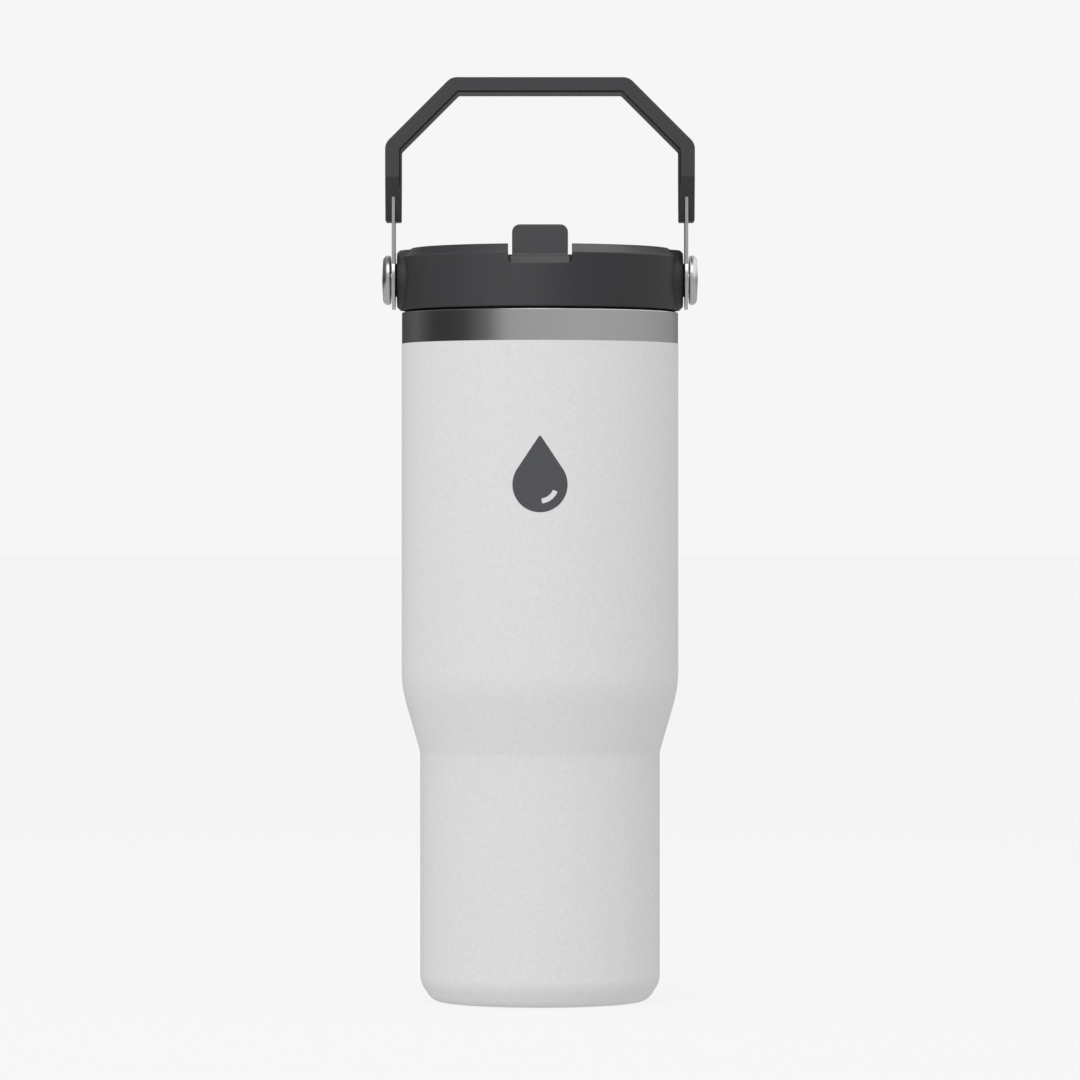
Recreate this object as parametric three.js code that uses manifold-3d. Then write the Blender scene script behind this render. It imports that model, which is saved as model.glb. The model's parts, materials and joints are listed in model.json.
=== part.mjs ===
// Insulated water bottle: double-wall steel body, screw lid with a flip spout and straw, and a carry handle.
// Millimetres, +Z up. The origin is the centre of the resting face, and the front is towards -Y.
import * as THREE from "three";
import { mergeVertices } from "three/addons/utils/BufferGeometryUtils.js";
import Module from "manifold-3d";

const wasm = await Module();
wasm.setup();

// ---------- driving dimensions ----------

const LARGE_FLATS = 40; // flats round the bottle-sized turned parts
const SMALL_FLATS = 16; // flats round pins, rings and tubes
const ARC_STEP = THREE.MathUtils.degToRad(24); // largest turn of one chord in a rounded corner
const CLEARANCE = 0.3; // gap left between pieces that touch

// Body, outside: a narrow lower half that fits a cup holder, a taper, and a wide upper half.
const LOWER_RADIUS = 37.9;
const UPPER_RADIUS = 43.75;
const TAPER_LOW_Z = 78.9;
const TAPER_HIGH_Z = 99.0;
const TAPER_LOW_BLEND = 6.0;
const TAPER_HIGH_BLEND = 33.0;
const MOUTH_Z = 217.7;
const BASE_EDGE_RADIUS = 33.9; // where the slanted bottom edge would meet the ground
const BASE_EDGE_Z = 6.1; // where it would meet the side wall
const BASE_FOOT_BLEND = 5.0;
const BASE_WALL_BLEND = 7.5;
const FOOT_INNER_RADIUS = 26.0;

// Walls of the vacuum flask.
const SHELL_WALL = 0.5;
const VACUUM_GAP = 2.0;
const LINER_WALL = 0.4;
const SHELL_LIP_RADIUS = 42.05;
const LINER_FLOOR_Z = 7.0;
const LINER_FLOOR_BLEND = 8.0;
const BASE_CAP_Z = 2.0;
const BASE_CAP_WALL = 0.5;
const GETTER_X = 12.0;

// Screw thread: right-hand, single start.
const THREAD_PITCH = 4.0;
const THREAD_TURNS = 1.25;
const THREAD_STEPS = 36;
const THREAD_FADE = 0.35; // radians over which a ridge runs out
const RIDGE_ROOT = 1.7;
const RIDGE_TIP = 0.9;
const NECK_RIDGE_Z = 206.5;
const PLUG_RIDGE_DROP = 2.0; // the lid's ridge bears on the neck ridge from below
const NECK_RIDGE_HEIGHT = 1.0;
const PLUG_RIDGE_HEIGHT = 1.2;

// Lid.
const PLUG_RADIUS = 39.35;
const PLUG_BORE = 37.2;
const PLUG_BOTTOM_Z = 203.2;
const GROOVE_RADIUS = 38.35;
const GROOVE_Z = [213.3, 216.5];
const SKIRT_Z = 218.3;
const RIM_EDGE_Z = 235.1;
const RIM_TOP_Z = 237.9;
const RIM_OUTER_RADIUS = 40.8;
const RIM_INNER_RADIUS = 39.8;
const DECK_Z = 232.0;
const DECK_RADIUS = 37.6;
const DECK_WALL = 2.2;
const SKIRT_BORE = 41.6;
const SKIRT_BORE_Z = 220.5;
const UNDERPLATE_WALL = 1.6;

// Spout and the channel that it folds into.
const SPOUT_Y = -30.0;
const SPOUT_Z = 228.3;
const BARREL_RADIUS = 6.0;
const BARREL_HALF_WIDTH = 9.15;
const TRUNNION_RADIUS = 2.4;
const TRUNNION_HALF_SPAN = 11.5;
const SPOUT_BORE_RADIUS = 3.2;
const BROW = [[-5.56, 2.25], [-4.73, 4.31, 13], [-3.3, 6.0]]; // the barrel's raised front, from its axis
const MOUTHPIECE_LENGTH = 36.0;
const MOUTHPIECE_HALF = { x: 5.5, z: 5.0 };
const TAB_HALF_WIDTH = 8.75;
const TAB_TOP_Z = 244.6;
const TAB_FRONT_OFFSET = 4.2;
const TAB_THICKNESS = 2.4;
const TAB_CORNER = 2.25;
const TAB_LEAN = 0.2; // how far the tab leans back, as a slope
const CHANNEL_HALF_WIDTH = 9.9;
const CHANNEL_FLOOR_Z = 221.5;
const CHANNEL_FRONT_Y = -41.4;
const CHANNEL_BACK_Y = 10.0;
const CHANNEL_WALL = 2.2;
const NOTCH_Z = 232.1;
const CHEEK_X = [7.0, CHANNEL_HALF_WIDTH + CHANNEL_WALL]; // the raised walls beside the mouthpiece
const CHEEK_FRONT_Y = -22.6;
const CHEEK_TOP_Z = 235.1;

// Straw, its socket and the air vent.
const STRAW_RADIUS = 3.8;
const STRAW_BORE = 3.1;
const STRAW_Z = [14.0, 213.7];
const SOCKET_RADIUS = 6.0;
const SOCKET_Z = 202.5;
const SOCKET_STOP_Z = 214.0;
const SEAL_SEAT_Z = 220.0;
const SEAL_RADIUS = 5.4;
const VENT_Y = -8.0;
const VENT_POST_RADIUS = 4.4;
const VENT_BORE = 1.3;
const VENT_SEAT_RADIUS = 3.2;
const VENT_SEAT_Z = 206.0;

// Handle pivots, one each side, on an axis along X.
const PIVOT_Z = 228.0;
const BOSS_FACE_X = 45.2;
const BOSS_FACE_RADIUS = 8.55;
const BOSS_TOP_Z = 237.35;
const BOSS_ROOT_X = 41.0;
const BOSS_CORE_X = [33.0, 42.5]; // the block behind the boss that holds the insert
const BOSS_CORE_HALF_DEPTH = 5.5;
const BUSHING_X = [44.5, 45.5];
const BUSHING_RADIUS = 5.3;
const INSERT_X = [38.5, 44.2];
const INSERT_RADIUS = 3.0;
const SHANK_RADIUS = 2.0;
const SHOULDER_RADIUS = 3.25;
const PIN_HEAD_X = 47.1;
const PIN_HEAD_RADIUS = 7.8;
const PIN_END_X = 49.95;

// Handle.
const STRAP_X = [45.75, 46.75];
const STRAP_HALF_WIDTH = 8.0;
const STRAP_TOP_Z = 267.0;
const EYE_RADIUS = 9.35;
const KEY_HOLE_RADIUS = 1.8; // the grip's plastic fills two holes in the strap and so locks it
const KEY_HOLE_Y = 4.0;
const GRIP_OUTER_X = 48.8;
const GRIP_INNER_X = 43.85;
const GRIP_END_Z = 246.35;
const GRIP_TOP_Z = 291.65;
const GRIP_UNDERSIDE_Z = 286.85;
const GRIP_SHOULDER_OUTSIDE = 319.6; // x + z along the outside of a shoulder, which slants at 45 degrees
const GRIP_SHOULDER_INSIDE = 312.6;
const GRIP_CORNER = 4.2;
const GRIP_HALF_DEPTH = 9.75;
const GRIP_END_HALF_DEPTH = 6.1;
const GRIP_TAPER_Z = 260.3;
const GRIP_CHAMFER = 0.6;

// ---------- outlines ----------

// Corners are [x, y] or [x, y, radius]. A corner with a radius becomes an arc that touches both its sides.
function rounded(corners) {
  return corners.flatMap(([x, y, radius = 0], index) => {
    const corner = new THREE.Vector2(x, y);
    if (radius === 0) return [corner];
    const toBefore = directionTo(corner, corners.at(index - 1));
    const toAfter = directionTo(corner, corners[(index + 1) % corners.length]);
    const halfAngle = toBefore.angleTo(toAfter) / 2;
    const start = corner.clone().addScaledVector(toBefore, radius / Math.tan(halfAngle));
    const middle = toBefore.clone().add(toAfter).normalize();
    const centre = corner.clone().addScaledVector(middle, radius / Math.sin(halfAngle));
    const turn = -Math.sign(toBefore.cross(toAfter)) * (Math.PI - 2 * halfAngle);
    const steps = Math.max(1, Math.ceil(Math.abs(turn) / ARC_STEP));
    return Array.from({ length: steps + 1 }, (_, step) =>
      start.clone().rotateAround(centre, (turn * step) / steps));
  });
}

function directionTo(corner, [x, y]) {
  return new THREE.Vector2(x, y).sub(corner).normalize();
}

// The two blended corners of the body's taper, at a depth inside the outer surface, from low to high.
function taperCorners(depth) {
  const slope = Math.atan2(UPPER_RADIUS - LOWER_RADIUS, TAPER_HIGH_Z - TAPER_LOW_Z);
  const rise = depth * Math.tan(slope / 2);
  return [
    [LOWER_RADIUS - depth, TAPER_LOW_Z + rise, TAPER_LOW_BLEND + depth],
    [UPPER_RADIUS - depth, TAPER_HIGH_Z + rise, TAPER_HIGH_BLEND - depth],
  ];
}

// ---------- solids ----------

function solid(geometry) {
  geometry.deleteAttribute("normal");
  geometry.deleteAttribute("uv");
  const merged = mergeVertices(geometry, 1e-4);
  const kept = [];
  const index = merged.index.array;
  for (let i = 0; i < index.length; i += 3) {
    const [a, b, c] = index.slice(i, i + 3);
    if (a !== b && b !== c && c !== a) kept.push(a, b, c);
  }
  return new wasm.Manifold(new wasm.Mesh({
    numProp: 3,
    vertProperties: new Float32Array(merged.attributes.position.array),
    triVerts: new Uint32Array(kept),
  }));
}

const join = (...solids) => solids.reduce((all, next) => all.add(next));
const cut = (body, ...tools) => tools.reduce((left, tool) => left.subtract(tool), body);

// Corners are [radius, height], counter-clockwise. The outline closes on itself or on the axis.
function turned(corners, flats = SMALL_FLATS) {
  const points = rounded(corners);
  if (points[0].x > 0) points.push(points[0].clone());
  return new THREE.LatheGeometry(points, flats).rotateX(Math.PI / 2);
}

// A span along X on the right side, or its mirror image on the left.
const mirrored = ([x0, x1], side) => (side > 0 ? [x0, x1] : [-x1, -x0]);

// A turned piece whose height runs outward along +X or -X.
const turnedOnX = (corners, side) => solid(turned(corners).rotateY((side * Math.PI) / 2));

function block([x0, x1], [y0, y1], [z0, z1]) {
  const box = new THREE.BoxGeometry(x1 - x0, y1 - y0, z1 - z0);
  return solid(box.translate((x0 + x1) / 2, (y0 + y1) / 2, (z0 + z1) / 2));
}

function post(radius, [z0, z1], y) {
  const cylinder = new THREE.CylinderGeometry(radius, radius, z1 - z0, SMALL_FLATS);
  return solid(cylinder.rotateX(Math.PI / 2).translate(0, y, (z0 + z1) / 2));
}

function rodOnX(radius, [x0, x1], y, z) {
  const cylinder = new THREE.CylinderGeometry(radius, radius, x1 - x0, SMALL_FLATS);
  return solid(cylinder.rotateZ(Math.PI / 2).translate((x0 + x1) / 2, y, z));
}

function rodOnY(radius, [y0, y1], z) {
  const cylinder = new THREE.CylinderGeometry(radius, radius, y1 - y0, SMALL_FLATS);
  return solid(cylinder.translate(0, (y0 + y1) / 2, z));
}

const X = new THREE.Vector3(1, 0, 0);
const Y = new THREE.Vector3(0, 1, 0);
const Z = new THREE.Vector3(0, 0, 1);

// A plate drawn in X and Z that fills y0 to y1, with chamfered edges where chamfer is given.
function plateAcrossY(shape, [y0, y1], chamfer = 0) {
  const geometry = new THREE.ExtrudeGeometry(shape, {
    depth: y1 - y0 - 2 * chamfer,
    bevelEnabled: chamfer > 0,
    bevelThickness: chamfer,
    bevelSize: chamfer,
    bevelOffset: -chamfer,
    bevelSegments: 1,
    curveSegments: 6,
  });
  const frame = new THREE.Matrix4().makeBasis(X, Z, Y.clone().negate());
  return solid(geometry.applyMatrix4(frame).translate(0, y1 - chamfer, 0));
}

// A plate drawn in Y and Z that fills x0 to x1.
function plateAcrossX(shape, [x0, x1]) {
  const options = { depth: x1 - x0, bevelEnabled: false, curveSegments: 8 };
  const frame = new THREE.Matrix4().makeBasis(Y, Z, X);
  return solid(new THREE.ExtrudeGeometry(shape, options).applyMatrix4(frame).translate(x0, 0, 0));
}

const shapeOf = (corners) => new THREE.Shape(rounded(corners));

// A helical ridge on a wall of radius wallRadius. A negative height stands inward.
// It is extruded straight, then wound round the axis, and sinks into the wall at both ends.
function threadRidge(wallRadius, height, startZ) {
  const side = Math.sign(height);
  const foot = -0.2 * side;
  const section = new THREE.Shape([
    new THREE.Vector2(foot, -RIDGE_ROOT / 2),
    new THREE.Vector2(height, -RIDGE_TIP / 2),
    new THREE.Vector2(height, RIDGE_TIP / 2),
    new THREE.Vector2(foot, RIDGE_ROOT / 2),
  ]);
  const sweep = THREAD_TURNS * 2 * Math.PI;
  const options = { depth: sweep, steps: THREAD_STEPS, bevelEnabled: false };
  const ridge = new THREE.ExtrudeGeometry(section, options);
  const position = ridge.attributes.position;
  for (let i = 0; i < position.count; i += 1) {
    const angle = sweep - position.getZ(i);
    const full = THREE.MathUtils.smoothstep(Math.min(angle, sweep - angle), 0, THREAD_FADE);
    const offset = THREE.MathUtils.lerp(foot / 2, position.getX(i), position.getX(i) === foot ? 1 : full);
    const radius = wallRadius + offset;
    const z = startZ + position.getY(i) + (THREAD_PITCH * angle) / (2 * Math.PI);
    position.setXYZ(i, radius * Math.cos(angle), radius * Math.sin(angle), z);
  }
  return solid(ridge);
}

// ---------- bottle ----------

function outerShell() {
  const wall = SHELL_WALL;
  const lipZ = MOUTH_Z - wall;
  const recessZ = BASE_CAP_Z + 1.0;
  return solid(turned([
    [FOOT_INNER_RADIUS, 0],
    [BASE_EDGE_RADIUS, 0, BASE_FOOT_BLEND],
    [LOWER_RADIUS, BASE_EDGE_Z, BASE_WALL_BLEND],
    ...taperCorners(0),
    [UPPER_RADIUS, MOUTH_Z, 1.0],
    [SHELL_LIP_RADIUS, MOUTH_Z],
    [SHELL_LIP_RADIUS, lipZ],
    [UPPER_RADIUS - wall, lipZ, wall],
    ...taperCorners(wall).reverse(),
    [LOWER_RADIUS - wall, BASE_EDGE_Z + 0.15, BASE_WALL_BLEND - wall],
    [BASE_EDGE_RADIUS - wall / 2, wall, BASE_FOOT_BLEND - wall],
    [FOOT_INNER_RADIUS + wall, wall],
    [FOOT_INNER_RADIUS + wall, recessZ],
    [FOOT_INNER_RADIUS, recessZ],
  ], LARGE_FLATS));
}

function innerLiner() {
  const outside = SHELL_WALL + VACUUM_GAP;
  const inside = outside + LINER_WALL;
  const flareZ = MOUTH_Z - 1.1;
  const floorZ = LINER_FLOOR_Z + LINER_WALL;
  const cup = solid(turned([
    [0, LINER_FLOOR_Z],
    [LOWER_RADIUS - outside, LINER_FLOOR_Z, LINER_FLOOR_BLEND + LINER_WALL],
    ...taperCorners(outside),
    [UPPER_RADIUS - outside, flareZ],
    [SHELL_LIP_RADIUS - CLEARANCE, MOUTH_Z],
    [SHELL_LIP_RADIUS - CLEARANCE - LINER_WALL, MOUTH_Z],
    [UPPER_RADIUS - inside, flareZ],
    ...taperCorners(inside).reverse(),
    [LOWER_RADIUS - inside, floorZ, LINER_FLOOR_BLEND],
    [0, floorZ],
  ], LARGE_FLATS));
  return join(cup, threadRidge(UPPER_RADIUS - inside, -NECK_RIDGE_HEIGHT, NECK_RIDGE_Z));
}

function baseCap() {
  const rim = FOOT_INNER_RADIUS - CLEARANCE;
  return solid(turned([
    [1.0, BASE_CAP_Z],
    [rim - BASE_CAP_WALL, BASE_CAP_Z],
    [rim - BASE_CAP_WALL, 0.6],
    [rim, 0.6],
    [rim, BASE_CAP_Z + BASE_CAP_WALL],
    [1.0, BASE_CAP_Z + BASE_CAP_WALL],
  ], LARGE_FLATS));
}

// The bead that closes the evacuation hole in the middle of the base cap.
function sealBead() {
  const top = BASE_CAP_Z - CLEARANCE;
  return solid(turned([[0, 0.7], [1.6, 0.8], [2.8, 1.3], [3.0, top], [0, top]]));
}

// A gas absorber in its dish, in the vacuum space under the liner.
function vacuumGetter() {
  const low = BASE_CAP_Z + BASE_CAP_WALL + CLEARANCE;
  const [rimZ, pillZ] = [low + 2.6, low + 1.8];
  const dish = turned([[0, low], [5.0, low, 0.4], [5.0, rimZ], [4.4, rimZ], [4.0, pillZ], [0, pillZ]]);
  return solid(dish.translate(GETTER_X, 0, 0));
}

// ---------- lid ----------

// The seal ring, with two lips that bear on the neck.
function lidGasket() {
  const inner = GROOVE_RADIUS + CLEARANCE;
  const lip = UPPER_RADIUS - SHELL_WALL - VACUUM_GAP - LINER_WALL - CLEARANCE;
  const [low, high] = [GROOVE_Z[0] + CLEARANCE, GROOVE_Z[1] - CLEARANCE];
  const middle = (low + high) / 2;
  return solid(turned([
    [inner, low],
    [lip - 0.5, low],
    [lip, low + 0.6],
    [lip - 0.4, middle],
    [lip, high - 0.6],
    [lip - 0.5, high],
    [inner, high],
  ], LARGE_FLATS));
}

function lidShell() {
  const ceiling = DECK_Z - DECK_WALL;
  return solid(turned([
    [0, ceiling],
    [SKIRT_BORE, ceiling],
    [SKIRT_BORE, SKIRT_BORE_Z],
    [PLUG_BORE, SKIRT_BORE_Z],
    [PLUG_BORE, PLUG_BOTTOM_Z],
    [PLUG_RADIUS, PLUG_BOTTOM_Z, 0.5],
    [PLUG_RADIUS, GROOVE_Z[0]],
    [GROOVE_RADIUS, GROOVE_Z[0]],
    [GROOVE_RADIUS, GROOVE_Z[1]],
    [PLUG_RADIUS, GROOVE_Z[1]],
    [PLUG_RADIUS, SKIRT_Z],
    [UPPER_RADIUS, SKIRT_Z, 0.4],
    [UPPER_RADIUS, RIM_EDGE_Z, 0.8],
    [RIM_OUTER_RADIUS, RIM_TOP_Z, 0.5],
    [RIM_INNER_RADIUS, RIM_TOP_Z, 0.3],
    [DECK_RADIUS, DECK_Z, 1.5],
    [0, DECK_Z],
  ], LARGE_FLATS));
}

// The boss that carries a handle pivot: a cone that stands out of the skirt, cut flat just below the rim.
function pivotBoss(side) {
  const rootRadius = BOSS_FACE_RADIUS + BOSS_FACE_X - BOSS_ROOT_X;
  const cone = turnedOnX([
    [0, BOSS_ROOT_X],
    [rootRadius, BOSS_ROOT_X],
    [BOSS_FACE_RADIUS, BOSS_FACE_X],
    [0, BOSS_FACE_X],
  ], side).translate([0, 0, PIVOT_Z]);
  const depth = [-BOSS_CORE_HALF_DEPTH, BOSS_CORE_HALF_DEPTH];
  const core = block(mirrored(BOSS_CORE_X, side), depth, [SKIRT_BORE_Z, PIVOT_Z + 4]);
  const band = block([-60, 60], [-20, 20], [SKIRT_Z, BOSS_TOP_Z]);
  return join(cone.intersect(band), core);
}

// The room for a bushing in the boss face and for the threaded insert behind it.
function pivotBore(side) {
  const seat = BUSHING_X[0] - CLEARANCE;
  return turnedOnX([
    [0, INSERT_X[0] - CLEARANCE],
    [INSERT_RADIUS + CLEARANCE, INSERT_X[0] - CLEARANCE],
    [INSERT_RADIUS + CLEARANCE, seat],
    [BUSHING_RADIUS + CLEARANCE, seat],
    [BUSHING_RADIUS + CLEARANCE, BOSS_FACE_X + 1],
    [0, BOSS_FACE_X + 1],
  ], side).translate([0, 0, PIVOT_Z]);
}

// The raised walls beside the folded mouthpiece and behind its tip.
function channelCheeks() {
  const backY = CHANNEL_BACK_Y + CHANNEL_WALL;
  const height = [CHANNEL_FLOOR_Z - 1, CHEEK_TOP_Z];
  const back = block([-CHEEK_X[1], CHEEK_X[1]], [CHANNEL_BACK_Y, backY], height);
  const sides = [-1, 1].map((side) => block(mirrored(CHEEK_X, side), [CHEEK_FRONT_Y, backY], height));
  return join(back, ...sides);
}

function lidHousing() {
  const wallX = CHANNEL_HALF_WIDTH + CHANNEL_WALL;
  const boxFloor = CHANNEL_FLOOR_Z - CHANNEL_WALL;
  const channelBox = block([-wallX, wallX], [-42, CHANNEL_BACK_Y + CHANNEL_WALL], [boxFloor, DECK_Z]);
  const socket = post(SOCKET_RADIUS, [SOCKET_Z, boxFloor + 1], SPOUT_Y);
  const ventPost = post(VENT_POST_RADIUS, [SOCKET_Z, boxFloor + 1], VENT_Y);
  const ridge = threadRidge(PLUG_RADIUS, PLUG_RIDGE_HEIGHT, NECK_RIDGE_Z - PLUG_RIDGE_DROP);
  const body = join(lidShell(), channelBox, socket, ventPost, ridge, pivotBoss(-1), pivotBoss(1));

  const halfWidth = CHANNEL_HALF_WIDTH;
  const above = RIM_TOP_Z + 2;
  const notch = shapeOf([
    [-halfWidth, NOTCH_Z, 1],
    [halfWidth, NOTCH_Z, 1],
    [halfWidth, above],
    [-halfWidth, above],
  ]);
  const open = cut(
    body,
    block([-halfWidth, halfWidth], [CHANNEL_FRONT_Y, CHANNEL_BACK_Y], [CHANNEL_FLOOR_Z, above]),
    plateAcrossY(notch, [-50, CHANNEL_FRONT_Y + 1]),
  );
  return cut(
    join(open, channelCheeks()),
    rodOnX(TRUNNION_RADIUS + CLEARANCE, [-wallX - 1, wallX + 1], SPOUT_Y, SPOUT_Z),
    post(SEAL_RADIUS + CLEARANCE, [SEAL_SEAT_Z, CHANNEL_FLOOR_Z + 1], SPOUT_Y),
    post(SPOUT_BORE_RADIUS, [SOCKET_STOP_Z - 1, SEAL_SEAT_Z + 1], SPOUT_Y),
    post(STRAW_RADIUS + CLEARANCE, [SOCKET_Z - 1, SOCKET_STOP_Z], SPOUT_Y),
    post(VENT_BORE, [SOCKET_Z - 1, CHANNEL_FLOOR_Z + 1], VENT_Y),
    post(VENT_SEAT_RADIUS, [SOCKET_Z - 1, VENT_SEAT_Z], VENT_Y),
    pivotBore(-1),
    pivotBore(1),
  );
}

// The plate that closes the lid's hollow underneath.
function lidUnderplate() {
  const z = [PLUG_BOTTOM_Z, PLUG_BOTTOM_Z + UNDERPLATE_WALL];
  const radius = PLUG_BORE - CLEARANCE;
  const disc = solid(turned([[0, z[0]], [radius, z[0], 0.4], [radius, z[1]], [0, z[1]]], LARGE_FLATS));
  const through = [z[0] - 1, z[1] + 1];
  return cut(
    disc,
    post(SOCKET_RADIUS + CLEARANCE, through, SPOUT_Y),
    post(VENT_POST_RADIUS + CLEARANCE, through, VENT_Y),
  );
}

// The silicone ring round the straw's outlet. The spout's barrel turns on its saddle-shaped top.
function portSeal() {
  const ring = solid(turned([
    [SPOUT_BORE_RADIUS, SEAL_SEAT_Z + CLEARANCE],
    [SEAL_RADIUS, SEAL_SEAT_Z + CLEARANCE],
    [SEAL_RADIUS, SEAL_SEAT_Z + 3.2],
    [SPOUT_BORE_RADIUS, SEAL_SEAT_Z + 3.2],
  ]).translate(0, SPOUT_Y, 0));
  return cut(ring, rodOnX(BARREL_RADIUS + CLEARANCE, [-12, 12], SPOUT_Y, SPOUT_Z));
}

// A mushroom-shaped valve: its cap covers the vent bore and its stem holds it there.
function ventValve() {
  const low = SOCKET_Z + 0.6;
  return solid(turned([
    [0, low],
    [2.8, low + 0.5],
    [2.8, low + 1.3],
    [0.9, low + 1.6],
    [0.9, low + 5.5],
    [0, low + 5.5],
  ]).translate(0, VENT_Y, 0));
}

function straw() {
  const tube = solid(turned([
    [STRAW_BORE, STRAW_Z[0]],
    [STRAW_RADIUS, STRAW_Z[0]],
    [STRAW_RADIUS, STRAW_Z[1]],
    [STRAW_BORE, STRAW_Z[1]],
  ]).translate(0, SPOUT_Y, 0));
  const slantedEnd = plateAcrossX(shapeOf([
    [SPOUT_Y - 5, STRAW_Z[0] - 2],
    [SPOUT_Y + 5, STRAW_Z[0] - 2],
    [SPOUT_Y + 5, STRAW_Z[0] + 6],
  ]), [-5, 5]);
  return cut(tube, slantedEnd);
}

// ---------- spout ----------

function spout() {
  const barrel = rodOnX(BARREL_RADIUS, [-BARREL_HALF_WIDTH, BARREL_HALF_WIDTH], SPOUT_Y, SPOUT_Z);
  const brow = plateAcrossX(shapeOf([
    [SPOUT_Y, SPOUT_Z],
    ...BROW.map(([y, z, radius]) => [SPOUT_Y + y, SPOUT_Z + z, radius]),
    [SPOUT_Y + TAB_FRONT_OFFSET + 0.1, SPOUT_Z + BARREL_RADIUS - 0.01],
  ].reverse()), [-BARREL_HALF_WIDTH, BARREL_HALF_WIDTH]);
  const trunnions = rodOnX(TRUNNION_RADIUS, [-TRUNNION_HALF_SPAN, TRUNNION_HALF_SPAN], SPOUT_Y, SPOUT_Z);
  const { x, z } = MOUTHPIECE_HALF;
  const mouthpiece = turned([
    [0, 0],
    [x, 0],
    [x, MOUTHPIECE_LENGTH - 8],
    [x - 0.7, MOUTHPIECE_LENGTH, 1.2],
    [0, MOUTHPIECE_LENGTH],
  ]);
  mouthpiece.rotateX(-Math.PI / 2).scale(1, 1, z / x).translate(0, SPOUT_Y, SPOUT_Z);
  const tabFront = plateAcrossY(shapeOf([
    [-TAB_HALF_WIDTH, SPOUT_Z],
    [TAB_HALF_WIDTH, SPOUT_Z],
    [TAB_HALF_WIDTH, TAB_TOP_Z, TAB_CORNER],
    [-TAB_HALF_WIDTH, TAB_TOP_Z, TAB_CORNER],
  ]), [SPOUT_Y, SPOUT_Y + 12]);
  const near = SPOUT_Y + TAB_FRONT_OFFSET;
  const far = near + TAB_THICKNESS;
  const footZ = SPOUT_Z + BARREL_RADIUS;
  const lean = TAB_LEAN * (TAB_TOP_Z - footZ);
  const tabSide = plateAcrossX(shapeOf([
    [near, SPOUT_Z],
    [far, SPOUT_Z],
    [far, footZ],
    [far + lean, TAB_TOP_Z, 0.6],
    [near + lean, TAB_TOP_Z, 0.6],
    [near, footZ],
  ]), [-TAB_HALF_WIDTH - 1, TAB_HALF_WIDTH + 1]);
  const bore = rodOnY(SPOUT_BORE_RADIUS, [SPOUT_Y - 10, SPOUT_Y + MOUTHPIECE_LENGTH + 2], SPOUT_Z);
  return cut(join(barrel, brow, trunnions, solid(mouthpiece), tabFront.intersect(tabSide)), bore);
}

// ---------- handle ----------

function pivotPin(side) {
  return turnedOnX([
    [0, INSERT_X[0] + 1],
    [SHANK_RADIUS, INSERT_X[0] + 1],
    [SHANK_RADIUS, BUSHING_X[0]],
    [SHOULDER_RADIUS, BUSHING_X[0]],
    [SHOULDER_RADIUS, PIN_HEAD_X],
    [PIN_HEAD_RADIUS, PIN_HEAD_X],
    [PIN_HEAD_RADIUS, PIN_HEAD_X + 1.5],
    [6.6, PIN_END_X - 0.3],
    [0, PIN_END_X],
  ], side).translate([0, 0, PIVOT_Z]);
}

const ringOnX = (inner, outer, [x0, x1], side) =>
  turnedOnX([[inner, x0], [outer, x0], [outer, x1], [inner, x1]], side).translate([0, 0, PIVOT_Z]);

const pivotBushing = (side) => ringOnX(SHOULDER_RADIUS + CLEARANCE, BUSHING_RADIUS, BUSHING_X, side);
const pivotInsert = (side) => ringOnX(SHANK_RADIUS + CLEARANCE, INSERT_RADIUS, INSERT_X, side);

// A flat steel strap: a round eye on the pivot, and a straight arm that runs up into the grip.
function strap(side) {
  const eyeStart = Math.acos(STRAP_HALF_WIDTH / EYE_RADIUS);
  const shape = new THREE.Shape();
  shape.absarc(0, PIVOT_Z, EYE_RADIUS, Math.PI - eyeStart, 2 * Math.PI + eyeStart, false);
  rounded([
    [STRAP_HALF_WIDTH, PIVOT_Z],
    [STRAP_HALF_WIDTH, STRAP_TOP_Z, 3],
    [-STRAP_HALF_WIDTH, STRAP_TOP_Z, 3],
    [-STRAP_HALF_WIDTH, PIVOT_Z],
  ]).slice(1, -1).forEach(({ x, y }) => shape.lineTo(x, y));
  shape.closePath();
  const pivotHole = new THREE.Path().absarc(0, PIVOT_Z, SHOULDER_RADIUS + CLEARANCE, 0, 2 * Math.PI, true);
  const keyHoles = [-KEY_HOLE_Y, KEY_HOLE_Y].map((y) =>
    new THREE.Path().absarc(y, STRAP_TOP_Z - 5, KEY_HOLE_RADIUS, 0, 2 * Math.PI, true));
  shape.holes.push(pivotHole, ...keyHoles);
  return plateAcrossX(shape, mirrored(STRAP_X, side));
}

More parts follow.
